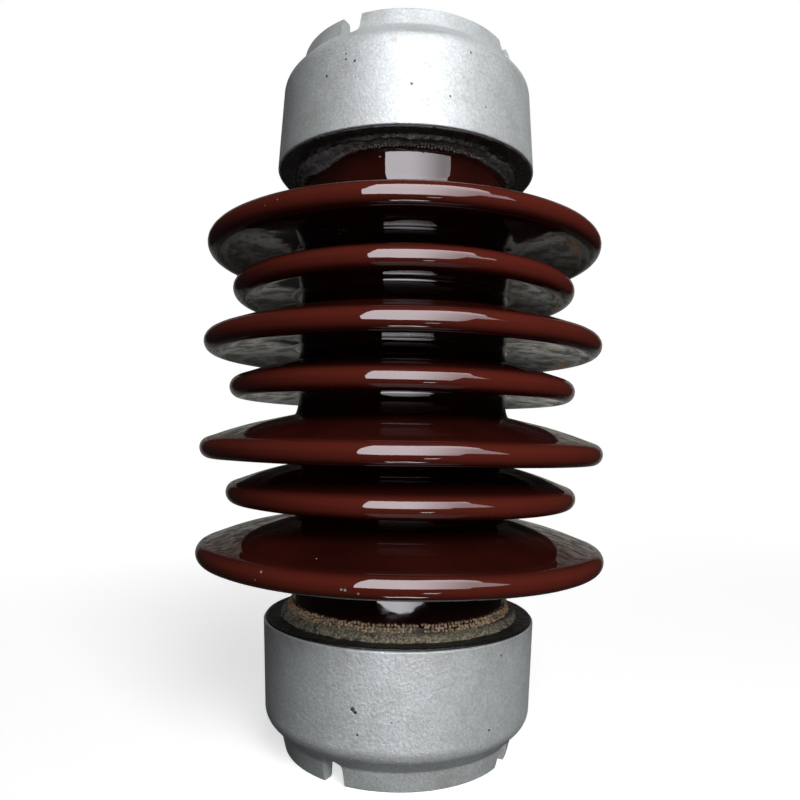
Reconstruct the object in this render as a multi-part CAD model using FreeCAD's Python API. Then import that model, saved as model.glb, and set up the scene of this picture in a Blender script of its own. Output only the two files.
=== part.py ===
"""Porcelain post insulator for overhead lines and substations.

A solid core of brown-glazed porcelain with alternating large and small sheds is cemented at each
end into an iron casting. The castings carry the tapped holes that the insulator is bolted by.
Millimetres. +Z runs along the axis, and the origin is the centre of the lower end face.
"""
import FreeCAD
import Part
import math
import os

# Whole insulator
overall_height = 355.0

# Porcelain body
core_radius = 53.8
large_shed_radius = 102.3
small_shed_radius = 89.1
large_shed_spacing = 51.7
small_shed_lift = 3.6
lowest_shed_clearance = 32.7
least_top_shed_clearance = 36.0
shed_underside_rise = 7.0
shed_rim_slope = 20.1
shed_root_slope = 12.0
shed_bend_inset = 21.0
shed_bend_rounding = 120.0
rim_lower_rounding = 5.7
rim_upper_rounding = 5.1
upper_root_fillet = 4.5
lower_root_fillet = 8.0

# End castings, measured from the end face
casting_height = 62.7
cement_thickness = 5.0
mouth_wall = 8.2
mouth_lip_rounding = 0.8
skirt_taper = 2.3
shoulder_height = 17.6
shoulder_rounding = 9.0
shoulder_step = 7.7
crease_fillet = 3.0
rim_height = 9.5
rim_taper = 2.6
rim_wall = 5.6
rim_edge_rounding = 0.8
web_thickness = 10.0
key_groove_count = 3
key_groove_depth = 2.0
key_groove_width = 5.0
key_groove_pitch = 9.5
key_groove_rounding = 1.0

# Recess in the end face, with its bosses, tapped holes and rim notches
recess_depth = 14.0
recess_corner_fillet = 3.0
casting_draft = 3.0
bolt_count = 4
bolt_circle_diameter = 76.0
boss_radius = 14.0
tapping_bore_radius = 5.1
tapped_depth = 20.0
drill_point_angle = 118.0
notch_count = 4
notch_width = 10.5
notch_depth = 12.0
notch_end_rounding = 4.5
notch_mouth_rounding = 0.5
first_notch_bearing = -29.0
boss_offset_from_notch = 44.0

# Joint between porcelain and casting
cushion_thickness = 2.5
grit_thickness = 1.3
grit_beyond_mouth = 7.2
grit_edge_rounding = 0.6
collar_shoulder_height = 4.0
collar_height = 6.2
collar_lean = 1.0
collar_rounding = 2.5
seal_thickness = 0.8
seal_climb = 0.8

# How far a solid that is cut away stands out of the face it cuts
cut_overshoot = 1.0

# Values that follow from the ones above
socket_floor = recess_depth + web_thickness
porcelain_end = socket_floor + cushion_thickness
grit_radius = core_radius + grit_thickness
socket_radius = grit_radius + cement_thickness
mouth_radius = socket_radius + mouth_wall
shoulder_radius = mouth_radius - skirt_taper
crease_radius = shoulder_radius - shoulder_step
rim_radius = crease_radius - rim_taper
recess_radius = rim_radius - rim_wall
lowest_shed_height = casting_height + lowest_shed_clearance
highest_shed_height = overall_height - casting_height - least_top_shed_clearance
large_shed_count = 1 + int((highest_shed_height - lowest_shed_height) / large_shed_spacing)


def rounded_outline(corners, place):
    """Close a wire through (across, along, rounding) corners, each an arc of its rounding.

    Where two roundings don't fit on the straight between them, both give way in proportion.
    The place function turns (across, along) into a point in space.
    """
    count = len(corners)
    points = [FreeCAD.Vector(across, along, 0) for across, along, rounding in corners]
    half_angles = []
    trims = []
    for i in range(count):
        to_last = points[i - 1] - points[i]
        to_next = points[(i + 1) % count] - points[i]
        half_angle = to_last.getAngle(to_next) / 2
        half_angles.append(half_angle)
        trims.append(corners[i][2] / math.tan(half_angle))
    shares = [1.0] * count
    for i in range(count):
        j = (i + 1) % count
        wanted = trims[i] + trims[j]
        length = points[i].distanceToPoint(points[j])
        if wanted > length:
            shares[i] = min(shares[i], length / wanted)
            shares[j] = min(shares[j], length / wanted)
    edges = []
    leaving = []
    arriving = []
    for i in range(count):
        trim = trims[i] * shares[i]
        to_last = (points[i - 1] - points[i]).normalize()
        to_next = (points[(i + 1) % count] - points[i]).normalize()
        arriving.append(points[i] + to_last * trim)
        leaving.append(points[i] + to_next * trim)
        if trim > 0:
            rounding = trim * math.tan(half_angles[i])
            inward = (to_last + to_next).normalize()
            centre = points[i] + inward * (rounding / math.sin(half_angles[i]))
            middle = centre - inward * rounding
            ends = [place(arriving[i]), place(middle), place(leaving[i])]
            edges.append(Part.Arc(*ends).toShape())
    for i in range(count):
        j = (i + 1) % count
        if leaving[i].distanceToPoint(arriving[j]) > 1e-6:
            edges.append(Part.LineSegment(place(leaving[i]), place(arriving[j])).toShape())
    return Part.Wire(Part.__sortEdges__(edges))


def turned(corners):
    """Revolve a (radius, height, rounding) section about the Z axis."""
    wire = rounded_outline(corners, lambda point: FreeCAD.Vector(point.x, 0, point.y))
    return Part.Face(wire).revolve(FreeCAD.Vector(), FreeCAD.Vector(0, 0, 1), 360)


def bearing(degrees):
    """Unit vector in plan, measured from the front (-Y) towards the right (+X)."""
    angle = math.radians(degrees)
    return FreeCAD.Vector(math.sin(angle), -math.cos(angle), 0)


def shed_corners(shed_radius, shed_height):
    """One shed's section from its lower root to its upper root, with its widest level at shed_height."""
    reach = shed_radius - core_radius
    rise = math.tan(math.radians(shed_underside_rise))
    lower_half_angle = math.radians(90 - shed_underside_rise) / 2
    upper_half_angle = math.radians(90 + shed_rim_slope) / 2
    lower_corner = shed_height - rim_lower_rounding / math.tan(lower_half_angle)
    upper_corner = shed_height + rim_upper_rounding / math.tan(upper_half_angle)
    bend = upper_corner + shed_bend_inset * math.tan(math.radians(shed_rim_slope))
    upper_root = bend + (reach - shed_bend_inset) * math.tan(math.radians(shed_root_slope))
    return [
        (core_radius, lower_corner + reach * rise, lower_root_fillet),
        (shed_radius, lower_corner, rim_lower_rounding),
        (shed_radius, upper_corner, rim_upper_rounding),
        (shed_radius - shed_bend_inset, bend, shed_bend_rounding),
        (core_radius, upper_root, upper_root_fillet),
    ]


def porcelain_body():
    """The one-piece porcelain: core, and sheds that shed rain down their tops."""
    corners = [(0, porcelain_end, 0), (core_radius, porcelain_end, 0)]
    for i in range(large_shed_count):
        large_height = lowest_shed_height + i * large_shed_spacing
        corners += shed_corners(large_shed_radius, large_height)
        if i < large_shed_count - 1:
            small_height = large_height + large_shed_spacing / 2 + small_shed_lift
            corners += shed_corners(small_shed_radius, small_height)
    corners += [(core_radius, overall_height - porcelain_end, 0), (0, overall_height - porcelain_end, 0)]
    return turned(corners)


def socket_wall():
    """The casting's inner wall from the mouth down to the floor, with the cement's key grooves."""
    corners = [(socket_radius, casting_height, 0)]
    top_groove = (casting_height + socket_floor + (key_groove_count - 1) * key_groove_pitch) / 2
    for i in range(key_groove_count):
        middle = top_groove - i * key_groove_pitch
        upper = middle + key_groove_width / 2
        lower = middle - key_groove_width / 2
        groove_radius = socket_radius + key_groove_depth
        corners.append((socket_radius, upper, 0))
        corners.append((groove_radius, upper, key_groove_rounding))
        corners.append((groove_radius, lower, key_groove_rounding))
        corners.append((socket_radius, lower, 0))
    corners.append((socket_radius, socket_floor, 0))
    return corners


def rim_notch(degrees):
    """A round-ended slot through the rim, open at the end face, as a solid to cut away."""
    outward = bearing(degrees)
    sideways = outward.cross(FreeCAD.Vector(0, 0, 1))
    start = outward * (recess_radius - boss_radius / 2)
    half_width = notch_width / 2
    flare = notch_mouth_rounding * 2
    corners = [
        (-half_width - flare, -flare, 0),
        (-half_width, 0, notch_mouth_rounding),
        (-half_width, notch_depth, notch_end_rounding),
        (half_width, notch_depth, notch_end_rounding),
        (half_width, 0, notch_mouth_rounding),
        (half_width + flare, -flare, 0),
    ]
    up = FreeCAD.Vector(0, 0, 1)
    wire = rounded_outline(corners, lambda point: start + sideways * point.x + up * point.y)
    reach = mouth_radius - recess_radius + boss_radius / 2
    return Part.Face(wire).extrude(outward * reach)


def tapped_hole(degrees):
    """A blind bore of the tapping size with its drill point, as a solid to cut away."""
    point_length = tapping_bore_radius / math.tan(math.radians(drill_point_angle) / 2)
    hole = turned([
        (0, -cut_overshoot, 0),
        (tapping_bore_radius, -cut_overshoot, 0),
        (tapping_bore_radius, tapped_depth, 0),
        (0, tapped_depth + point_length, 0),
    ])
    hole.translate(bearing(degrees) * (bolt_circle_diameter / 2))
    return hole


def boss(degrees):
    """A drafted boss that carries a tapped hole, from beyond the end face to below the recess floor."""
    taper = math.tan(math.radians(casting_draft))
    foot = recess_depth + web_thickness / 2
    solid = turned([
        (0, -cut_overshoot * 2, 0),
        (boss_radius - cut_overshoot * 2 * taper, -cut_overshoot * 2, 0),
        (boss_radius + foot * taper, foot, 0),
        (0, foot, 0),
    ])
    solid.translate(bearing(degrees) * (bolt_circle_diameter / 2))
    return solid


def end_recess(boss_bearings):
    """The drafted hollow in the end face, with the bosses left standing, as a solid to cut away."""
    floor_radius = recess_radius - recess_depth * math.tan(math.radians(casting_draft))
    hollow = turned([
        (0, -cut_overshoot, 0),
        (recess_radius + rim_edge_rounding + cut_overshoot, -cut_overshoot, 0),
        (recess_radius, rim_edge_rounding, 0),
        (floor_radius, recess_depth, recess_corner_fillet),
        (0, recess_depth, 0),
    ])
    return hollow.cut([boss(degrees) for degrees in boss_bearings])


def end_casting():
    """The lower end casting: spigot rim, sloping shoulder, drafted skirt, socket and recess."""
    corners = [
        (0, 0, 0),
        (rim_radius, 0, rim_edge_rounding),
        (crease_radius, rim_height, crease_fillet),
        (shoulder_radius, shoulder_height, shoulder_rounding),
        (mouth_radius, casting_height, mouth_lip_rounding),
    ]
    corners += socket_wall()
    corners += [(0, socket_floor, 0)]
    casting = turned(corners)
    first_boss_bearing = first_notch_bearing + boss_offset_from_notch
    boss_bearings = [first_boss_bearing + i * 360 / bolt_count for i in range(bolt_count)]
    notch_bearings = [first_notch_bearing + i * 360 / notch_count for i in range(notch_count)]
    casting = casting.cut(end_recess(boss_bearings))
    for degrees in boss_bearings:
        casting = casting.cut(tapped_hole(degrees))
    for degrees in notch_bearings:
        casting = casting.cut(rim_notch(degrees))
    return casting


def cement_ring():
    """The cement that fills the socket and stands out of the mouth as a rounded collar."""
    corners = socket_wall()
    corners += [
        (grit_radius, socket_floor, 0),
        (grit_radius, casting_height + collar_height, 0),
        (socket_radius - collar_lean, casting_height + collar_shoulder_height, collar_rounding),
    ]
    return turned(corners)


def grit_band():
    """The crushed grit fired onto the end of the core, which shows beyond the casting's mouth."""
    top = casting_height + grit_beyond_mouth
    return turned([
        (core_radius, porcelain_end, 0),
        (grit_radius, porcelain_end, 0),
        (grit_radius, top, grit_edge_rounding),
        (core_radius, top, 0),
    ])


def bitumen_seal():
    """The black coat over the casting's mouth face and the foot of the cement collar."""
    face_edge = mouth_radius - mouth_lip_rounding
    seal_end_radius = socket_radius - seal_climb * collar_lean / collar_shoulder_height
    return turned([
        (socket_radius, casting_height, 0),
        (face_edge, casting_height, 0),
        (face_edge - seal_thickness / 2, casting_height + seal_thickness, seal_thickness / 2),
        (socket_radius + seal_thickness, casting_height + seal_thickness, seal_thickness),
        (seal_end_radius, casting_height + seal_climb + seal_thickness, seal_thickness / 2),
        (seal_end_radius, casting_height + seal_climb, 0),
    ])


def end_cushion():
    """The soft disc that keeps the porcelain's end off the socket's floor."""
    return turned([
        (0, socket_floor, 0),
        (grit_radius, socket_floor, 0),
        (grit_radius, porcelain_end, 0),
        (0, porcelain_end, 0),
    ])


def at_top(shape):
    """The same piece for the upper end, seen in a mirror at mid-height."""
    return shape.mirror(FreeCAD.Vector(0, 0, overall_height / 2), FreeCAD.Vector(0, 0, 1))


os.makedirs("parts", exist_ok=True)

nodes = {"porcelain_body": porcelain_body()}
end_pieces = {
    "fitting": end_casting(),
    "cement": cement_ring(),
    "grit_band": grit_band(),
    "bitumen_seal": bitumen_seal(),
    "cushion": end_cushion(),
}
for name, shape in end_pieces.items():
    nodes["bottom_" + name] = shape
    nodes["top_" + name] = at_top(shape)

for name, shape in nodes.items():
    solid = shape.Solids[0]
    solid.exportStep("parts/" + name + ".step")
    print(name, "valid", solid.isValid(), "solids", len(shape.Solids), "volume", round(solid.Volume))
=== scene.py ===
# %% [markdown]
# A porcelain post insulator
#
# The real object is a solid core of brown-glazed porcelain with seven sheds, cemented at each end
# into a galvanised iron casting. Black bitumen seals each joint, and a band of fired-on grit gives
# the cement its grip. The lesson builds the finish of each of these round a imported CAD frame.

import math
from random import Random

import bmesh
import bpy
from mathutils import Matrix, Vector, noise


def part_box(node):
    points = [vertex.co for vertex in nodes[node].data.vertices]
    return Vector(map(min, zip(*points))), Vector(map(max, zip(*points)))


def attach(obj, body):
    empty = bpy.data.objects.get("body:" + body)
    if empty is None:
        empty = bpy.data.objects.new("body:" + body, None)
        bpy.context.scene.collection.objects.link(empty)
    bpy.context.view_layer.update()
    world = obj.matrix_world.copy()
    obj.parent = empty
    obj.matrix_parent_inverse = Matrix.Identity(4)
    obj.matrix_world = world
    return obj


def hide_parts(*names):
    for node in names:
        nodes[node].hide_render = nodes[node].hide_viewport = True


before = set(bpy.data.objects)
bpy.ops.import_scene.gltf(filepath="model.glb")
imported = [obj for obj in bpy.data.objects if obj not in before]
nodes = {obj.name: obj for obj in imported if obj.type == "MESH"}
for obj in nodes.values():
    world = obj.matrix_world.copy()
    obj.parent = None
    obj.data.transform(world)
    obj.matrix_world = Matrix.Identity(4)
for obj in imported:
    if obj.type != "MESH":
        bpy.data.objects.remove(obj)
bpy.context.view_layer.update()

# %% [markdown]
# Places
#
# The frame gives the places that the new pieces have to meet. The height of a casting's mouth, the
# radius of the grit band, the rim of the seal and the ends of the porcelain are all read from the
# boxes of their nodes. Both ends are alike, so the lower one's places serve for the upper one too.

# %% Places read from the frame
overall_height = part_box("top_fitting")[1].z
mouth_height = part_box("bottom_fitting")[1].z
grit_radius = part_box("bottom_grit_band")[1].x
seal_outer_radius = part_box("bottom_bitumen_seal")[1].x
porcelain_low, porcelain_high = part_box("porcelain_body")
middle = Vector((0, 0, overall_height / 2))
print("mouth at", round(mouth_height, 4), "porcelain radius", round(porcelain_high.x, 4))

# %% [markdown]
# Camera
#
# The camera stands close, a little below the middle of the insulator, and looks up by a few
# degrees. That is why the upper sheds are seen from below and the lower ones from above. A small
# roll leans the insulator to the right, and the shift puts the view's axis above the middle of the
# frame.

# %% Camera
camera_place = Vector((-0.0011, -0.3685, 0.1506))
look_up = math.radians(4.72)
roll = math.radians(-0.985)
image_size = 800
focal_pixels = 696.0
axis_row = 384.35

forward = Vector((0, math.cos(look_up), math.sin(look_up)))
level_right = Vector((1, 0, 0))
level_down = forward.cross(level_right)
right = math.cos(roll) * level_right + math.sin(roll) * level_down
down = math.cos(roll) * level_down - math.sin(roll) * level_right
facing = Matrix((right, -down, -forward)).transposed().to_4x4()

camera_data = bpy.data.cameras.new("camera")
camera_data.sensor_width = 36
camera_data.lens = camera_data.sensor_width * focal_pixels / image_size
camera_data.shift_y = (axis_row - image_size / 2) / image_size
camera_data.clip_start = 0.01
camera = bpy.data.objects.new("camera", camera_data)
camera.matrix_world = Matrix.Translation(camera_place) @ facing
bpy.context.scene.collection.objects.link(camera)
bpy.context.scene.camera = camera
print("lens", round(camera_data.lens, 2), "mm")

# %% [markdown]
# Turned pieces
#
# The porcelain is shaped on a lathe before it is fired, and the joint's seal and cement go on by
# hand round the same axis. Each is a section that is spun about Z. The section's corners are plain
# points, and a vertex bevel rounds each one. A bevel's offset is measured along the edges, so a
# corner's radius is first turned into that length. Where two arcs would meet on a short edge, both
# are made smaller, and a hair is left between them.

# %% Arcs of a section
arc_share = 0.999


def trims_of(corners, closed):
    """How far each (radius, height, rounding) corner's arc reaches along its edges."""
    points = [Vector((radius, height)) for radius, height, rounding in corners]
    count = len(points)
    trims = [0.0] * count
    for i in range(count):
        if corners[i][2] > 0 and (closed or 0 < i < count - 1):
            to_last = points[i - 1] - points[i]
            to_next = points[(i + 1) % count] - points[i]
            trims[i] = corners[i][2] / math.tan(to_last.angle(to_next) / 2)
    shares = [1.0] * count
    for i in range(count if closed else count - 1):
        j = (i + 1) % count
        wanted = trims[i] + trims[j]
        length = (points[j] - points[i]).length
        if wanted > length:
            shares[i] = min(shares[i], length / wanted)
            shares[j] = min(shares[j], length / wanted)
    return [trim * share * arc_share for trim, share in zip(trims, shares)]


# %% Section and spin
weld_distance = 1e-6


def section(corners, closed, chord, longest):
    """A bmesh of wires through the corners, rounded with chords about `chord` long."""
    bm = bmesh.new()
    verts = [bm.verts.new((radius, 0, height)) for radius, height, rounding in corners]
    for last, following in zip(verts, verts[1:]):
        bm.edges.new((last, following))
    if closed:
        bm.edges.new((verts[-1], verts[0]))
    for vert, trim in zip(verts, trims_of(corners, closed)):
        if trim > 0:
            segments = max(2, round(2 * trim / chord))
            bmesh.ops.bevel(bm, geom=[vert], offset=trim, offset_type="OFFSET", segments=segments,
                            profile=0.5, affect="VERTICES", material=-1)
    for edge in list(bm.edges):
        cuts = int(edge.calc_length() / longest)
        if cuts:
            bmesh.ops.subdivide_edges(bm, edges=[edge], cuts=cuts)
    return bm


def spin(bm, steps):
    """Turn a section into a closed skin about Z, with outward normals."""
    bmesh.ops.spin(bm, geom=bm.verts[:] + bm.edges[:], cent=(0, 0, 0), axis=(0, 0, 1),
                   dvec=(0, 0, 0), angle=2 * math.pi, steps=steps, use_merge=True,
                   use_normal_flip=False, use_duplicate=False)
    bmesh.ops.remove_doubles(bm, verts=bm.verts[:], dist=weld_distance)
    bmesh.ops.recalc_face_normals(bm, faces=bm.faces[:])
    return bm


# %% Finished pieces
def finished(bm, name, material, replaced):
    """Make the bmesh a smooth-shaded piece that rides on the object."""
    for face in bm.faces:
        face.smooth = True
    mesh = bpy.data.meshes.new(name)
    bm.to_mesh(mesh)
    bm.free()
    piece = bpy.data.objects.new(name, mesh)
    bpy.context.scene.collection.objects.link(piece)
    mesh.materials.append(material)
    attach(piece, "root")
    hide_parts(*replaced)
    print(name, len(mesh.polygons), "faces")


def to_top(bm):
    """Turn a lower end's piece over to the upper end."""
    bmesh.ops.scale(bm, vec=(1, 1, -1), verts=bm.verts[:])
    bmesh.ops.translate(bm, vec=(0, 0, overall_height), verts=bm.verts[:])
    bmesh.ops.reverse_faces(bm, faces=bm.faces[:])


# %% [markdown]
# Materials
#
# Every noise and spot reads Object coordinates, in metres, so it stays on its piece from any side.
# The class below adds a noise, a ramp, a mix and a bump in one line each, because every finish uses
# a few of them.

# %% Helpers for materials
mix_share, mix_first, mix_second = 0, 6, 7
mixed_colour = 2


def is_socket(source):
    return isinstance(source, bpy.types.NodeSocket)


class Finish:
    """A Principled material, with short ways to add the nodes that its patterns need."""

    def __init__(self, name, **values):
        self.material = bpy.data.materials.new(name)
        self.material.use_nodes = True
        self.tree = self.material.node_tree
        self.shader = self.tree.nodes["Principled BSDF"]
        self.place = self.tree.nodes.new("ShaderNodeTexCoord").outputs["Object"]
        for socket, value in values.items():
            self.shader.inputs[socket.replace("_", " ")].default_value = value

    def node(self, kind, sources=None, **settings):
        """Add a node. Its inputs are fed from sockets or set to plain values."""
        made = self.tree.nodes.new(kind)
        for key, value in settings.items():
            setattr(made, key, value)
        for key, source in (sources or {}).items():
            if is_socket(source):
                self.tree.links.new(source, made.inputs[key])
            else:
                made.inputs[key].default_value = source
        return made

    def noise(self, size, detail=3, roughness=0.55):
        """Noise whose features are about `size` metres across."""
        sources = {"Vector": self.place, "Scale": 1 / size, "Detail": detail,
                   "Roughness": roughness}
        return self.node("ShaderNodeTexNoise", sources).outputs["Fac"]

    def ramp(self, source, low, high, from_value=0.0, to_value=1.0, smooth=True):
        """Map low..high of a value to from_value..to_value."""
        sources = {"Value": source, "From Min": low, "From Max": high, "To Min": from_value,
                   "To Max": to_value}
        kind = "SMOOTHSTEP" if smooth else "LINEAR"
        return self.node("ShaderNodeMapRange", sources, interpolation_type=kind).outputs["Result"]

    def patches(self, size, low, high, from_value=0.0, to_value=1.0, **look):
        """A noise with its low..high mapped to from_value..to_value."""
        return self.ramp(self.noise(size, **look), low, high, from_value, to_value)

    def combine(self, operation, first, second=0.0):
        """A number made of one or two others."""
        return self.node("ShaderNodeMath", {0: first, 1: second}, operation=operation).outputs[0]

    def vectors(self, operation, first, second=(0, 0, 0), output="Vector"):
        """A vector, or with output="Value" a number, made of one or two vectors."""
        made = self.node("ShaderNodeVectorMath", {0: first, 1: second}, operation=operation)
        return made.outputs[output]

    def along(self, axis):
        """The X, Y or Z coordinate on the piece."""
        return self.node("ShaderNodeSeparateXYZ", {0: self.place}).outputs[axis]

    def mix(self, share, first, second):
        """Mix two colours, given as sockets or as (red, green, blue)."""
        first, second = [colour if is_socket(colour) else (*colour, 1)
                         for colour in (first, second)]
        sources = {mix_share: share, mix_first: first, mix_second: second}
        return self.node("ShaderNodeMix", sources, data_type="RGBA").outputs[mixed_colour]

    def bump(self, source, distance, strength=1.0):
        """Add a relief of `distance` metres on top of any relief added before."""
        sources = {"Height": source, "Distance": distance, "Strength": strength}
        made = self.node("ShaderNodeBump", sources)
        normal = self.shader.inputs["Normal"]
        if normal.is_linked:
            self.tree.links.new(normal.links[0].from_socket, made.inputs["Normal"])
        self.tree.links.new(made.outputs["Normal"], normal)

    def set(self, socket, source):
        """Feed one of the shader's sockets."""
        self.tree.links.new(source, self.shader.inputs[socket])


# %% [markdown]
# Marks of wear
#
# Old marks are of two kinds. Small stray ones lie anywhere, so cells of a Voronoi pattern make
# round spots, and a slow noise keeps them to some patches. The few that catch the eye are placed
# one by one: each is a short line out from the axis, and all that lies close to the line is marked.
# A noise shifts the place first, which makes the mark's edge ragged.

# %% Helpers for marks
mark_edge_scale = 900
front_blend = 0.001
metres_per_mm = 0.001


def direction(azimuth, elevation):
    """Unit vector out from the object. Azimuth runs from the front (-Y) to the right (+X)."""
    turn, rise = math.radians(azimuth), math.radians(elevation)
    level = math.cos(rise)
    return Vector((math.sin(turn) * level, -math.cos(turn) * level, math.sin(rise)))


def stray_spots(finish, spacing, edge, patch_size, patch_edge):
    """1 inside round spots. Their edge is a pair of distances from the middle, in spacings."""
    sources = {"Vector": finish.place, "Scale": 1 / spacing}
    to_nearest = finish.node("ShaderNodeTexVoronoi", sources).outputs["Distance"]
    spots = finish.ramp(to_nearest, *edge)
    return finish.combine("MULTIPLY", spots, finish.patches(patch_size, *patch_edge))


def marks(finish, places, ragged=0.0007):
    """1 inside small marks, given by bearing in degrees, height and radius in millimetres."""
    sources = {"Vector": finish.place, "Scale": mark_edge_scale}
    wander = finish.node("ShaderNodeTexNoise", sources).outputs["Color"]
    shift = finish.vectors("SUBTRACT", wander, (0.5, 0.5, 0.5))
    shift = finish.vectors("MULTIPLY", shift, (ragged, ragged, ragged))
    place = finish.vectors("ADD", finish.place, shift)
    total = 0.0
    for bearing, height, radius in places:
        outward = direction(bearing, 0)
        arm = finish.vectors("SUBTRACT", place, (0, 0, height * metres_per_mm))
        from_line = finish.vectors("LENGTH", finish.vectors("CROSS_PRODUCT", arm, outward),
                                   output="Value")
        inside = finish.ramp(from_line, radius * metres_per_mm, radius * metres_per_mm / 2)
        ahead = finish.vectors("DOT_PRODUCT", arm, outward, output="Value")
        mark = finish.combine("MULTIPLY", inside, finish.ramp(ahead, 0, front_blend))
        total = finish.combine("MAXIMUM", total, mark)
    return total


# %% [markdown]
# Brown glaze
#
# An iron-rich glaze is a dark red brown under a skin of clear glass. It runs thin over the rims'
# edges, where it turns redder, and lies thick and nearly black on the flats and the core. On the
# sheds' flats that near black is also painted shade, standing in for the shade between the sheds.
# How thin it is, and so how shaded, comes from an attribute on the porcelain's vertices. Its shine
# comes from a low roughness, so the window and the sheds mirror in it. A slight orange peel ripples
# the mirrors, and small pale specks mark the places where kiln sand stuck or a chip came off.

# %% Brown glaze
# The thick colour also serves as painted shade on the sheds' flat faces.
glaze_thick_and_shaded = (0.026, 0.0044, 0.0030)
glaze_thin = (0.120, 0.0185, 0.0115)
speck_colour = (0.38, 0.31, 0.27)
orange_peel_size = 0.006
orange_peel_depth = 0.000015
chips = (
    (-32.9, 97.9, 0.65), (-34.5, 94.5, 0.4), (-21.5, 103.3, 0.3), (-31.4, 249.9, 0.35),
    (-35.4, 248.7, 0.3), (-13.3, 283.6, 0.45), (-12.4, 94.6, 0.5), (-11.6, 94.3, 0.65),
    (-8.8, 93.2, 0.55),
)


def brown_glaze():
    glaze = Finish("brown_glaze", IOR=1.5)
    thin_and_lit = glaze.node("ShaderNodeAttribute", attribute_name="thin_glaze_and_light").outputs["Fac"]
    uneven = glaze.patches(0.035, 0.3, 0.7, -0.08, 0.08, detail=2)
    # Near 0 on the sheds' flats, which paints them dark as shade; near 1 on the rims' edges.
    body = glaze.mix(glaze.combine("ADD", thin_and_lit, uneven), glaze_thick_and_shaded, glaze_thin)
    strays = stray_spots(glaze, 0.013, (0.042, 0.022), 0.05, (0.60, 0.66))
    specks = glaze.combine("MAXIMUM", strays, marks(glaze, chips))
    glaze.set("Base Color", glaze.mix(specks, body, speck_colour))
    dust = glaze.patches(0.009, 0.45, 0.80, 0.025, 0.075, detail=6)
    glaze.set("Roughness", glaze.combine("ADD", dust, specks))
    glaze.bump(glaze.noise(orange_peel_size, detail=1), orange_peel_depth)
    return glaze.material


glaze_material = brown_glaze()
print(glaze_material.name, "with", len(chips), "chips")

# %% [markdown]
# The porcelain's section
#
# Large and small sheds take turns, so that water can't bridge them. A shed's top slopes more
# steeply near its rim, and its underside rises towards the core and meets it in a tight corner.
# Above each shed the core flares out a little. The photo shows that against the white, where the
# CAD part has a plain fillet. The other sizes are the CAD part's.

# %% The porcelain's section
core_radius = 0.0538
large_shed_radius = 0.1023
small_shed_radius = 0.0891
lowest_shed_height = 0.0954
large_shed_spacing = 0.0517
small_shed_height = 0.02945
large_shed_count = 4
underside_degrees = 7.0
rim_degrees = 20.1
root_degrees = 12.0
bend_inset = 0.021
bend_rounding = 0.12
rim_lower_rounding = 0.0057
rim_upper_rounding = 0.0051
upper_root_fillet = 0.0018
lower_root_fillet = 0.0012
root_flare = 0.0019
root_flare_height = 0.0045
waist_depth = 0.0003
waist_rounding = 0.026

sheds = []
for i in range(large_shed_count):
    level = lowest_shed_height + i * large_shed_spacing
    sheds += [(large_shed_radius, level), (small_shed_radius, level + small_shed_height)]
sheds.pop()
print(len(sheds), "sheds, the highest at", round(sheds[-1][1], 4))


def shed_corners(shed_radius, shed_height):
    """A shed from its lower root to its upper root. It is widest at shed_height."""
    reach = shed_radius - core_radius
    below = rim_lower_rounding * math.tan(math.radians(90 + underside_degrees) / 2)
    above = rim_upper_rounding * math.tan(math.radians(90 - rim_degrees) / 2)
    lower_corner = shed_height - below
    upper_corner = shed_height + above
    lower_root = lower_corner + reach * math.tan(math.radians(underside_degrees))
    bend = upper_corner + bend_inset * math.tan(math.radians(rim_degrees))
    root_slope = math.tan(math.radians(root_degrees))
    upper_root = bend + (reach - root_flare - bend_inset) * root_slope
    return [
        (core_radius + waist_depth, lower_root, lower_root_fillet),
        (shed_radius, lower_corner, rim_lower_rounding),
        (shed_radius, upper_corner, rim_upper_rounding),
        (shed_radius - bend_inset, bend, bend_rounding),
        (core_radius + root_flare, upper_root, upper_root_fillet),
        (core_radius, upper_root + root_flare_height, waist_rounding),
    ]


def porcelain_corners():
    corners = [(0, porcelain_low.z, 0), (core_radius, porcelain_low.z, 0)]
    for shed_radius, shed_height in sheds:
        corners += shed_corners(shed_radius, shed_height)
    return corners + [(core_radius, porcelain_high.z, 0), (0, porcelain_high.z, 0)]


# %% [markdown]
# Where the glaze runs thin, and where shade is painted
#
# Molten glaze creeps off an edge and gathers on the flats. The finish can't tell an edge by its
# place, so each vertex notes it: the steeper its face, the thinner the glaze. The same note paints
# shade: the sheds' flat tops and undersides take the dark thick colour, which stands in for the
# shade between the sheds. The core stands upright too, yet its glaze is thick, so the sheds' rims
# alone count.

# %% Where the glaze runs thin, and where shade is painted
flat_normal = 0.99
steep_normal = 0.50
thick_inside_radius = 0.060
thin_outside_radius = 0.076


def glazed(bm):
    """Note on each vertex how far the glaze has run off it, all of it on a rim's edge. A low value
    also paints the flats as in shade.
    """
    bm.normal_update()
    thin_glaze_and_light = bm.verts.layers.float.new("thin_glaze_and_light")
    for vert in bm.verts:
        edge = (flat_normal - abs(vert.normal.z)) / (flat_normal - steep_normal)
        off_core = math.hypot(vert.co.x, vert.co.y) - thick_inside_radius
        off_core /= thin_outside_radius - thick_inside_radius
        # Flat faces get 0 and so the dark thick colour, as painted shade between the sheds.
        vert[thin_glaze_and_light] = max(0.0, min(1.0, edge)) * max(0.0, min(1.0, off_core))


# %% [markdown]
# What the kiln did
#
# A fired shed is never quite flat or level. From the lowest shed up, each rim has risen or sunk by
# some tenths of a millimetre, and the sheds lean a little, to the left at the foot and to the right
# at the head. A slow noise adds a soft wave, which only draws a rim in, so that the porcelain stays
# within its size. The core stays straight. The wave reads plain noise at two places, because
# noise_vector starts from the clock and would give another shape on each run.

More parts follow.
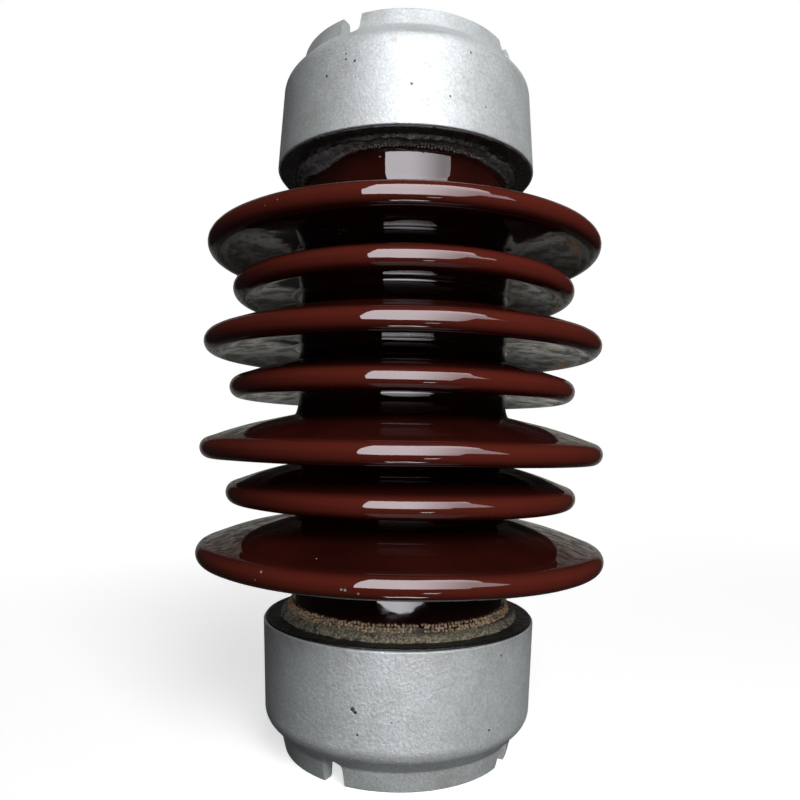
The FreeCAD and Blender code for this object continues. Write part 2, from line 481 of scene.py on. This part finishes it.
# %% What the kiln did
shed_lifts_mm = (0.1, -0.3, -0.6, 0.6, 0.7, -0.4, -0.4)
lowest_lean = math.radians(-0.4)
highest_lean = math.radians(0.35)
wave_height = 0.0002
wave_length = 0.05
wave_offset = Vector((9.3, 1.5, 7.9))
warp_reach = 0.03
below_rim = 0.007


def fired(bm):
    for vert in bm.verts:
        radius = math.hypot(vert.co.x, vert.co.y)
        share = max(0.0, min(1.0, (radius - core_radius) / warp_reach))
        shed = sum(vert.co.z > level - below_rim for shed_radius, level in sheds) - 1
        if shed >= 0 and share > 0:
            lean = lowest_lean + (highest_lean - lowest_lean) * shed / (len(sheds) - 1)
            lift = shed_lifts_mm[shed] * metres_per_mm
            vert.co.z += share * (lift + vert.co.x * math.tan(lean))
            place = vert.co / wave_length
            inward = abs(noise.noise(place)) * wave_height * share
            upward = noise.noise(place + wave_offset) * wave_height * share
            drawn_in = 1 - inward / radius
            vert.co = (vert.co.x * drawn_in, vert.co.y * drawn_in, vert.co.z + upward)


porcelain = spin(section(porcelain_corners(), closed=False, chord=0.0016, longest=0.005), steps=240)
glazed(porcelain)
fired(porcelain)
finished(porcelain, "porcelain", glaze_material, ["porcelain_body"])

# %% [markdown]
# Galvanised iron
#
# The castings were dipped in molten zinc, which has dulled to a pale satin grey. The sand mould
# left a crisp fine grain under it, and each sand grain that broke away left a shallow pit. The pits
# are painted near black, which is painted shade for the inside of each hollow. The grain is a small
# noise that drives both the tone and the bump, so that it reads as relief.

# %% Galvanised iron
zinc_pale = (0.605, 0.645, 0.655)
zinc_grey = (0.450, 0.478, 0.475)
zinc_grimed = (0.34, 0.315, 0.26)
pit_shade_colour = (0.05, 0.045, 0.04)
scuff_colour = (0.42, 0.41, 0.36)
nick_colour = (0.80, 0.80, 0.80)
grain_depth = 0.00032
pit_depth = 0.0004
casting_pits = (
    (-34.7, 320.9, 0.9), (-25.6, 326.5, 0.7), (-21.7, 324.7, 0.8), (-25.7, 329.2, 0.5),
    (1.6, 311.4, 0.7), (26.1, 331.0, 0.6), (16.8, 307.3, 0.6), (32.9, 306.4, 0.5),
    (-16.3, 37.6, 1.2), (-15.3, 36.4, 1.0), (-14.5, 27.2, 0.6), (-1.9, 33.3, 0.4),
    (37.5, 25.5, 0.7), (42.6, 56.7, 0.5),
)
casting_scuffs = (
    (-5.7, 332.9, 1.8), (6.6, 321.8, 1.5), (8.4, 320.4, 1.3), (7.9, 304.5, 1.2),
    (7.4, 301.6, 1.3), (0.3, 298.8, 0.8),
)
bright_nicks = ((56.5, 38.7, 0.8), (7.4, 44.9, 0.5), (-5.5, 62.2, 0.8))


def galvanised_iron():
    zinc = Finish("galvanised_iron", Metallic=0.12)
    grain = zinc.patches(0.0013, 0.34, 0.66, detail=4, roughness=0.75)
    blotch = zinc.patches(0.007, 0.36, 0.64, -0.15, 0.15, detail=5, roughness=0.7)
    colour = zinc.mix(zinc.combine("ADD", grain, blotch), zinc_grey, zinc_pale)
    grime = zinc.patches(0.02, 0.50, 0.75, 0.0, 0.40, detail=6, roughness=0.65)
    colour = zinc.mix(grime, colour, zinc_grimed)
    colour = zinc.mix(marks(zinc, casting_scuffs, ragged=0.003), colour, scuff_colour)
    colour = zinc.mix(marks(zinc, bright_nicks), colour, nick_colour)
    strays = stray_spots(zinc, 0.0095, (0.045, 0.025), 0.022, (0.56, 0.62))
    pits = zinc.combine("MAXIMUM", strays, marks(zinc, casting_pits))
    # The pits are painted near black here: painted shade inside the hollows.
    zinc.set("Base Color", zinc.mix(pits, colour, pit_shade_colour))
    zinc.set("Roughness", zinc.patches(0.004, 0.35, 0.65, 0.40, 0.50))
    zinc.bump(zinc.noise(0.0016, detail=4, roughness=0.7), grain_depth, 0.9)
    zinc.bump(pits, -pit_depth)
    return zinc.material


def repaint(node, material):
    """Give a CAD node that keeps its shape its finish."""
    mesh = nodes[node].data
    mesh.materials.clear()
    mesh.materials.append(material)
    print(node, "in", material.name)


zinc_material = galvanised_iron()
for end in ("bottom", "top"):
    repaint(end + "_fitting", zinc_material)

# %% [markdown]
# Cement, grit and bitumen
#
# The lower joint shows a collar of sandy cement with beads of fired grit standing out of it next to
# the glaze. At the upper joint the same collar is smeared with bitumen. One finish serves both, with
# a share of black that differs. The black comes through a noise, as thin and patchy as a brush
# leaves it, and the lower collar has a stain of it along the right of its upper edge.

# %% Cement and grit
sand_dark = (0.060, 0.050, 0.026)
smear_colour = (0.016, 0.015, 0.013)
sand_relief = 0.0006
stain_right = (0.002, 0.012)
stain_depth = 0.0012
stain_strength = 0.92
grit_grime = (0.04, 0.032, 0.020)
grit_shade = 0.45


def cement_finish(name, pale, blackened, stained_from):
    cement = Finish(name, Roughness=0.85)
    sand = cement.noise(0.0010, detail=4, roughness=0.6)
    colour = cement.mix(cement.ramp(sand, 0.35, 0.65), sand_dark, pale)
    smear = cement.patches(0.0045, 0.60 - blackened / 2, 0.75 - blackened / 2, detail=5,
                           roughness=0.65)
    stain = cement.ramp(cement.along("Z"), stained_from, stained_from + stain_depth, 0.0,
                        stain_strength)
    stain = cement.combine("MULTIPLY", stain, cement.ramp(cement.along("X"), *stain_right))
    black = cement.combine("MAXIMUM", smear, stain)
    cement.set("Base Color", cement.mix(black, colour, smear_colour))
    cement.bump(sand, sand_relief)
    return cement.material


def grit_finish(name, pale, blackened):
    grit = Finish(name, Roughness=0.42)
    shaded = [grit_shade * part for part in pale]
    colour = grit.mix(grit.patches(0.0016, 0.38, 0.62, detail=1), shaded, pale)
    grime = grit.patches(0.006, 0.58 - blackened, 0.74 - blackened)
    grit.set("Base Color", grit.mix(grime, colour, grit_grime))
    return grit.material


cement_materials = {
    "bottom": cement_finish("cement", (0.43, 0.38, 0.245), 0.22, mouth_height + 0.0036),
    "top": cement_finish("smeared_cement", (0.22, 0.20, 0.145), 0.50, overall_height),
}
grit_materials = {
    "bottom": grit_finish("grit", (0.85, 0.63, 0.41), 0.0),
    "top": grit_finish("smeared_grit", (0.20, 0.15, 0.09), 0.30),
}
print("cement and grit for", *cement_materials)

# %% Bitumen and felt
bitumen_black = (0.0060, 0.0064, 0.0066)
bitumen_dust = (0.040, 0.037, 0.029)
bitumen_relief = 0.0010
felt_dark = (0.02, 0.016, 0.012)
felt_pale = (0.08, 0.065, 0.05)
felt_relief = 0.0004


def bitumen_finish(name, dusty):
    bitumen = Finish(name, IOR=1.5, Specular_IOR_Level=0.3)
    dust = bitumen.patches(0.003, 0.52 - dusty, 0.74 - dusty, detail=6, roughness=0.7)
    bitumen.set("Base Color", bitumen.mix(dust, bitumen_black, bitumen_dust))
    bitumen.set("Roughness", bitumen.ramp(dust, 0, 1, 0.38, 0.80, smooth=False))
    bitumen.bump(bitumen.noise(0.0018, detail=4), bitumen_relief, 0.9)
    return bitumen.material


def felt_finish():
    felt = Finish("cushion_felt", Roughness=0.95)
    fibre = felt.noise(0.0008, detail=5)
    felt.set("Base Color", felt.mix(fibre, felt_dark, felt_pale))
    felt.bump(fibre, felt_relief)
    return felt.material


bitumen_materials = {
    "bottom": bitumen_finish("bitumen", -0.08),
    "top": bitumen_finish("dusty_bitumen", 0.10),
}
felt_material = felt_finish()
for end in ("bottom", "top"):
    repaint(end + "_cushion", felt_material)

# %% [markdown]
# The cement collars
#
# A mason trowels the cement proud of the socket, so the collar is rounded and lumpy, and it isn't
# the same at both ends. It is a closed section, spun and then swollen by a coarse and a fine noise.
# A swelling in one direction makes the thick smear on the left of the upper joint. The collar's
# foot is buried in the socket, and its inner wall in the core, so that no gap shows.

# %% Cement collars
collar_foot_radius = 0.0601
collar_lean = 0.001
collar_buried = 0.002
core_overlap = 0.0003
collar_noises = ((0.0042, 0.0005), (0.0014, 0.00035))
lump_upward = 0.8
lump_blend = 0.001
collar_seeds = {"bottom": 3, "top": 4}
collar_heights = {"bottom": 0.0068, "top": 0.0044}
collar_lumps = {
    "bottom": [(33, 20, -0.0019), (-8, 16, -0.0006), (-60, 35, -0.0004), (150, 60, 0.0005)],
    "top": [(-52, 17, 0.0052), (62, 25, 0.0018), (8, 14, -0.0007), (170, 40, 0.0015)],
}


def swelling(place, lumps):
    """How much higher the collar stands there, from (bearing, half width, height) lumps."""
    bearing = math.degrees(math.atan2(place.x, -place.y))
    total = 0.0
    for middle_bearing, half_width, height in lumps:
        away = (bearing - middle_bearing + 180) % 360 - 180
        total += height * math.exp(-(away / half_width) ** 2)
    return total


def collar(seed, height, lumps):
    top = mouth_height + height
    bm = spin(section([
        (core_radius - core_overlap, mouth_height - collar_buried, 0),
        (collar_foot_radius, mouth_height - collar_buried, 0),
        (collar_foot_radius, mouth_height, 0),
        (collar_foot_radius - collar_lean, mouth_height + height * 0.55, 0.0022),
        (grit_radius + 0.0003, top - height * 0.16, 0.0012),
        (grit_radius - 0.0002, top, 0.0004),
        (core_radius - core_overlap, top, 0),
    ], closed=True, chord=0.0006, longest=0.0008), steps=540)
    offset = Vector((seed * 3.7, seed * 2.3, seed))
    for vert in bm.verts:
        rise = vert.co.z - mouth_height
        if rise > 0:
            place = vert.co + offset
            lump = sum(noise.noise(place / size) * reach for size, reach in collar_noises)
            off_core = math.hypot(vert.co.x, vert.co.y) - core_radius + core_overlap
            share = min(1.0, rise / lump_blend) * min(1.0, off_core / lump_blend)
            outward = Vector((vert.co.x, vert.co.y, 0)).normalized() + Vector((0, 0, lump_upward))
            vert.co.z += rise / height * swelling(vert.co, lumps)
            vert.co += outward * lump * share
    return bm


for end in ("bottom", "top"):
    ring = collar(collar_seeds[end], collar_heights[end], collar_lumps[end])
    if end == "top":
        to_top(ring)
    finished(ring, end + "_collar", cement_materials[end], [end + "_cement"])

# %% [markdown]
# The bitumen coat
#
# It is a thin ring, made as a closed section that is spun and then pushed about by noise. Where the
# coat ends on the cement, the push runs up and down the collar, so that its edge wanders. At the
# upper mouth three drops ran to the lip and set there.

# %% Bitumen coats
coat_thickness = 0.0008
coat_inset = 0.0012
coat_buried = 0.0004
wander_noises = ((0.009, 1), (0.003, 0.7))
rim_lump_size = 0.003
rim_lump_height = 0.0004
drop_radius = 0.0009
drop_above_mouth = 0.0002
drop_bearings = (-13.5, 10.5, -36)
coat_seeds = {"bottom": 1, "top": 2}
coat_climbs = {"bottom": 0.0001, "top": 0.0018}
coat_wanders = {"bottom": 0.0003, "top": 0.0010}


def bitumen_coat(seed, climb, wander_height):
    foot = collar_foot_radius
    face = mouth_height + coat_thickness
    bm = spin(section([
        (foot - coat_inset, mouth_height - coat_buried, 0),
        (seal_outer_radius, mouth_height, 0),
        (seal_outer_radius - 0.0003, face, 0.0004),
        (foot + 0.0009, face, 0.0010),
        (foot - 0.0002, face + climb, 0.0004),
        (foot - coat_inset, face + climb, 0),
    ], closed=True, chord=0.0004, longest=0.0008), steps=480)
    offset = Vector((seed * 3.1, seed * 1.7, 0))
    for vert in bm.verts:
        place = vert.co + offset
        radius = math.hypot(vert.co.x, vert.co.y)
        on_collar = max(0.0, min(1.0, (foot + 0.0010 - radius) / 0.0016))
        off_rim = max(0.0, min(1.0, (seal_outer_radius - radius) / 0.001))
        wander = sum(noise.noise(place / size) * share for size, share in wander_noises)
        lump = 0.5 + 0.5 * noise.noise(place / rim_lump_size)
        if vert.co.z > mouth_height + coat_thickness * 0.6:
            vert.co.z += wander * wander_height * on_collar + lump * rim_lump_height * off_rim
    return bm


def add_drops(bm):
    """Set a small ball on the mouth's lip for each drop."""
    place = Vector((0, -seal_outer_radius, mouth_height + drop_above_mouth))
    for bearing in drop_bearings:
        turn = Matrix.Rotation(math.radians(bearing), 4, "Z")
        bmesh.ops.create_icosphere(bm, subdivisions=2, radius=drop_radius,
                                   matrix=turn @ Matrix.Translation(place))


for end in ("bottom", "top"):
    coat = bitumen_coat(coat_seeds[end], coat_climbs[end], coat_wanders[end])
    if end == "top":
        add_drops(coat)
        to_top(coat)
    finished(coat, end + "_bitumen", bitumen_materials[end], [end + "_bitumen_seal"])

# %% [markdown]
# Grit beads
#
# The grit is fired on in close rows of round beads. They stand clear next to the glaze and sink into
# the cement below it. Each bead is a sphere with few faces, squashed and turned at random. A slow
# noise buries some stretches deeper than others, and at the upper joint most beads are under the
# smear. Each row is made as a mesh of its own, because adding to a small mesh is quicker.

# %% Grit beads
bead_radius = 0.00078
bead_pitch = 0.00165
bead_rows = (0.0073, 0.0061, 0.0049)
row_step = 0.0006
bead_spacing_range = (-0.22, 0.22)
bead_size_range = (0.72, 1.05)
bead_sink_range = (-0.35, 0.1)
bead_level_range = (-0.00035, 0.00035)
bead_turn_range = (0, 3)
bead_squash_range = (0.82, 1.0)
bead_seeds = {"bottom": 5, "top": 9}
bead_shown = {"bottom": 0.25, "top": -0.25}
bead_reach = {"bottom": 1.0, "top": 0.6}


def bead_row(random, seed, row, shown, reach):
    """One ring of beads, as a mesh. A bead that is buried whole is left out."""
    bm = bmesh.new()
    radius = grit_radius - 0.0002 + row * row_step
    count = int(2 * math.pi * radius / bead_pitch)
    for i in range(count):
        step = i + 0.5 * (row % 2) + random.uniform(*bead_spacing_range)
        angle = step / count * 2 * math.pi
        around = Vector((math.cos(angle) * 2.2, math.sin(angle) * 2.2, seed * 5))
        buried = noise.noise(around) + noise.noise(around * 3) * 0.5 + row * 0.10
        size = bead_radius * random.uniform(*bead_size_range)
        sink = size * (random.uniform(*bead_sink_range) + max(0.0, buried - shown) * 2.2)
        level = mouth_height + bead_rows[row] * reach + random.uniform(*bead_level_range)
        if sink < size * 0.9:
            turn = Matrix.Rotation(random.uniform(*bead_turn_range), 4, "X")
            squash = Matrix.Diagonal((size, size * random.uniform(*bead_squash_range), size, 1))
            place = Matrix.Rotation(angle, 4, "Z") @ Matrix.Translation((radius - sink, 0, level))
            bmesh.ops.create_uvsphere(bm, u_segments=8, v_segments=6, radius=1,
                                      matrix=place @ turn @ squash)
    mesh = bpy.data.meshes.new("row")
    bm.to_mesh(mesh)
    bm.free()
    return mesh


def grit_beads(seed, shown, reach):
    random = Random(seed)
    whole = bmesh.new()
    for row in range(len(bead_rows)):
        mesh = bead_row(random, seed, row, shown, reach)
        whole.from_mesh(mesh)
        bpy.data.meshes.remove(mesh)
    return whole


for end in ("bottom", "top"):
    beads = grit_beads(bead_seeds[end], bead_shown[end], bead_reach[end])
    if end == "top":
        to_top(beads)
    finished(beads, end + "_grit_beads", grit_materials[end], [end + "_grit_band"])

# %% [markdown]
# Floor
#
# The insulator stands on a plain white floor. The floor glows a little for the camera, and more
# with distance, so that it meets the white background without a line. It sends no light up to the
# object, because its glow is for the camera alone.

# %% Floor
floor_radius = 6.0
floor_white = (0.86, 0.86, 0.86)
floor_fade = (0.15, 1.1)
glow_near, glow_far = 0.50, 1.0


def placed(bm, name, material):
    """Put a piece of the studio in the scene."""
    mesh = bpy.data.meshes.new(name)
    bm.to_mesh(mesh)
    bm.free()
    mesh.materials.append(material)
    thing = bpy.data.objects.new(name, mesh)
    bpy.context.scene.collection.objects.link(thing)
    print(name, len(mesh.polygons), "faces")
    return thing


def floor_finish():
    ground = Finish("floor", Roughness=0.9, Specular_IOR_Level=0, Emission_Color=(1, 1, 1, 1))
    from_axis = ground.vectors("LENGTH", ground.vectors("MULTIPLY", ground.place, (1, 1, 0)),
                               output="Value")
    far_off = ground.ramp(from_axis, *floor_fade)
    glow = ground.ramp(far_off, 0, 1, glow_near, glow_far, smooth=False)
    seen_by_camera = ground.node("ShaderNodeLightPath").outputs["Is Camera Ray"]
    ground.set("Base Color", ground.mix(far_off, floor_white, (0, 0, 0)))
    ground.set("Emission Strength", ground.combine("MULTIPLY", glow, seen_by_camera))
    return ground.material


floor_bm = bmesh.new()
bmesh.ops.create_circle(floor_bm, cap_ends=True, segments=96, radius=floor_radius)
floor = placed(floor_bm, "floor", floor_finish())
floor.visible_diffuse = False
floor.visible_glossy = False

# %% [markdown]
# Lamps
#
# A large soft lamp in front gives the plain light, and a weaker one at the back keeps the other
# side from going black. The one at the back casts no shadow, so the floor shows only the shadow of
# the first. The glaze would mirror both as discs, so neither shows in mirrors.

# %% Lamps
lamp_distance = 1.6


def soft_lamp(name, azimuth, elevation, size, power, shadow=True):
    data = bpy.data.lights.new(name, "AREA")
    data.shape = "DISK"
    data.size = size
    data.energy = power
    data.use_shadow = shadow
    lamp = bpy.data.objects.new(name, data)
    place = middle + direction(azimuth, elevation) * lamp_distance
    aim = (middle - place).to_track_quat("-Z", "Y").to_matrix().to_4x4()
    lamp.matrix_world = Matrix.Translation(place) @ aim
    bpy.context.scene.collection.objects.link(lamp)
    lamp.visible_glossy = False
    print(name, power, "W")


soft_lamp("key_lamp", azimuth=20, elevation=28, size=0.9, power=21)
soft_lamp("back_lamp", azimuth=195, elevation=12, size=1.0, power=16, shadow=False)

# %% [markdown]
# Window
#
# A glossy glaze shows whatever stands round it, so a tall bright window is put in front for
# reflections alone. Its outline is given by directions from the insulator, because a mirror shows
# directions and not distances. The light falls off towards the right and the sky, as behind a
# curtain. A dark sill stands nearer and hides the window's foot from the lower sheds.

# %% Window
window_distance = 2.0
window_brightness = 10.5
window_light_colour = (0.97, 0.95, 1.0, 1)
window_panes = (
    [(-22, 58), (12, 60), (36, 61), (49, 56), (51, 44), (47, 30), (52, 18), (58, 6), (46, 4),
     (36, 3), (30, -9), (25, -28), (14, -28), (8, -12), (-6, -11), (-6.5, -21), (-22, -16)],
    [(15, -37), (24, -36), (22, -44), (14, -44)],
    [(-20, -73), (8, -71), (36, -73), (36, -79), (8, -77), (-20, -79)],
)
dimmer_right, dimmer_right_by = (0.05, 1.0), 0.62
dimmer_sky, dimmer_sky_to = (0.95, 1.60), 0.45
sill_distance = 0.95
sill_left, sill_right = -27, 30
sill_top, sill_foot = -0.12, -0.5
sill_shade = 0.01


def seen_only_in_mirrors(thing):
    thing.visible_camera = False
    thing.visible_diffuse = False
    thing.visible_transmission = False
    thing.visible_shadow = False


def dull_finish(name, shade=0.0, **values):
    """A dull surface that mirrors nothing itself."""
    return Finish(name, Base_Color=(shade, shade, shade, 1), Roughness=1.0,
                  Specular_IOR_Level=0, **values)


def window_light():
    light = dull_finish("window_light", Emission_Color=window_light_colour)
    to_right = light.ramp(light.along("X"), *dimmer_right, 0.0, dimmer_right_by)
    to_sky = light.ramp(light.along("Z"), *dimmer_sky, 1.0, dimmer_sky_to)
    left = light.combine("SUBTRACT", 1.0, light.combine("MULTIPLY", to_right, to_sky))
    light.set("Emission Strength", light.combine("MULTIPLY", left, window_brightness))
    return light.material


window_bm = bmesh.new()
for outline in window_panes:
    window_bm.faces.new([window_bm.verts.new(middle + direction(*corner) * window_distance)
                         for corner in outline])
bmesh.ops.triangulate(window_bm, faces=window_bm.faces[:])
seen_only_in_mirrors(placed(window_bm, "window", window_light()))

sill_bm = bmesh.new()
sill_corners = ((sill_left, sill_top), (sill_right, sill_top), (sill_right, sill_foot),
                (sill_left, sill_foot))
sill_bm.faces.new([
    sill_bm.verts.new(direction(azimuth, 0) * sill_distance + Vector((0, 0, height)))
    for azimuth, height in sill_corners
])
seen_only_in_mirrors(placed(sill_bm, "window_sill", dull_finish("sill", sill_shade).material))

# %% [markdown]
# Room
#
# Round it all stands a dim room, again for reflections alone. It is a sphere whose paint goes by
# its coordinates: nearly black in front, so that the window stands out, and a stained wall behind
# at both sides, which the rims mirror at a low angle.

# %% Room
room_radius = 6.5
room_dark = (0.015, 0.015, 0.015)
wall_dark = (0.10, 0.098, 0.085)
wall_pale = (0.36, 0.355, 0.33)
wall_brown = (0.38, 0.23, 0.12)
left_wall_lean = 0.8


def room_paint():
    room = dull_finish("room", Emission_Strength=1.0)
    across, back, level = room.along("X"), room.along("Y"), room.along("Z")
    below = room.combine("MULTIPLY", room.combine("MINIMUM", level), left_wall_lean)
    right_wall = room.ramp(across, 0.4, 1.35)
    left_wall = room.ramp(room.combine("ADD", across, below), -1.05, -1.35, 0.0, 0.75)
    wall = room.combine("MAXIMUM", right_wall, left_wall)
    for limit in (
        room.ramp(room.combine("ABSOLUTE", across), 3.9, 3.1),
        room.ramp(back, 0.0, 1.0),
        room.ramp(level, -2.0, -0.1, 0.12, 1.0),
        room.ramp(level, 5.5, 4.0),
    ):
        wall = room.combine("MULTIPLY", wall, limit)
    stains = room.patches(0.20, 0.40, 0.60, detail=6, roughness=0.7)
    brown = room.patches(0.30, 0.64, 0.70, detail=4)
    brown = room.combine("MULTIPLY", brown, room.ramp(across, 0.5, 1.0))
    paint = room.mix(brown, room.mix(stains, wall_dark, wall_pale), wall_brown)
    room.set("Emission Color", room.mix(wall, room_dark, paint))
    return room.material


room_bm = bmesh.new()
bmesh.ops.create_uvsphere(room_bm, u_segments=48, v_segments=24, radius=room_radius)
seen_only_in_mirrors(placed(room_bm, "room", room_paint()))

# %% [markdown]
# World
#
# The world gives the object a faint even fill, and the camera, mirrors and glass see it as plain
# white. A Light Path node tells the two apart.

# %% World
fill_colour, fill_strength = (0.96, 0.98, 1.0, 1), 0.05
backdrop_colour, backdrop_strength = (1, 1, 1, 1), 1.0

world = bpy.data.worlds.new("world")
bpy.context.scene.world = world
world.use_nodes = True
tree = world.node_tree
tree.nodes.clear()
rays = tree.nodes.new("ShaderNodeLightPath").outputs
chosen = tree.nodes.new("ShaderNodeMixShader")
white_for = rays["Is Camera Ray"]
for kind in ("Is Transmission Ray", "Is Glossy Ray"):
    either = tree.nodes.new("ShaderNodeMath")
    either.operation = "MAXIMUM"
    tree.links.new(white_for, either.inputs[0])
    tree.links.new(rays[kind], either.inputs[1])
    white_for = either.outputs[0]
tree.links.new(white_for, chosen.inputs[0])
for i, (colour, strength) in enumerate(((fill_colour, fill_strength),
                                        (backdrop_colour, backdrop_strength)), start=1):
    background = tree.nodes.new("ShaderNodeBackground")
    background.inputs["Color"].default_value = colour
    background.inputs["Strength"].default_value = strength
    tree.links.new(background.outputs[0], chosen.inputs[i])
world_out = tree.nodes.new("ShaderNodeOutputWorld")
tree.links.new(chosen.outputs[0], world_out.inputs["Surface"])

bpy.context.scene.view_settings.view_transform = "Standard"
print("fill", fill_strength, "backdrop", backdrop_strength)
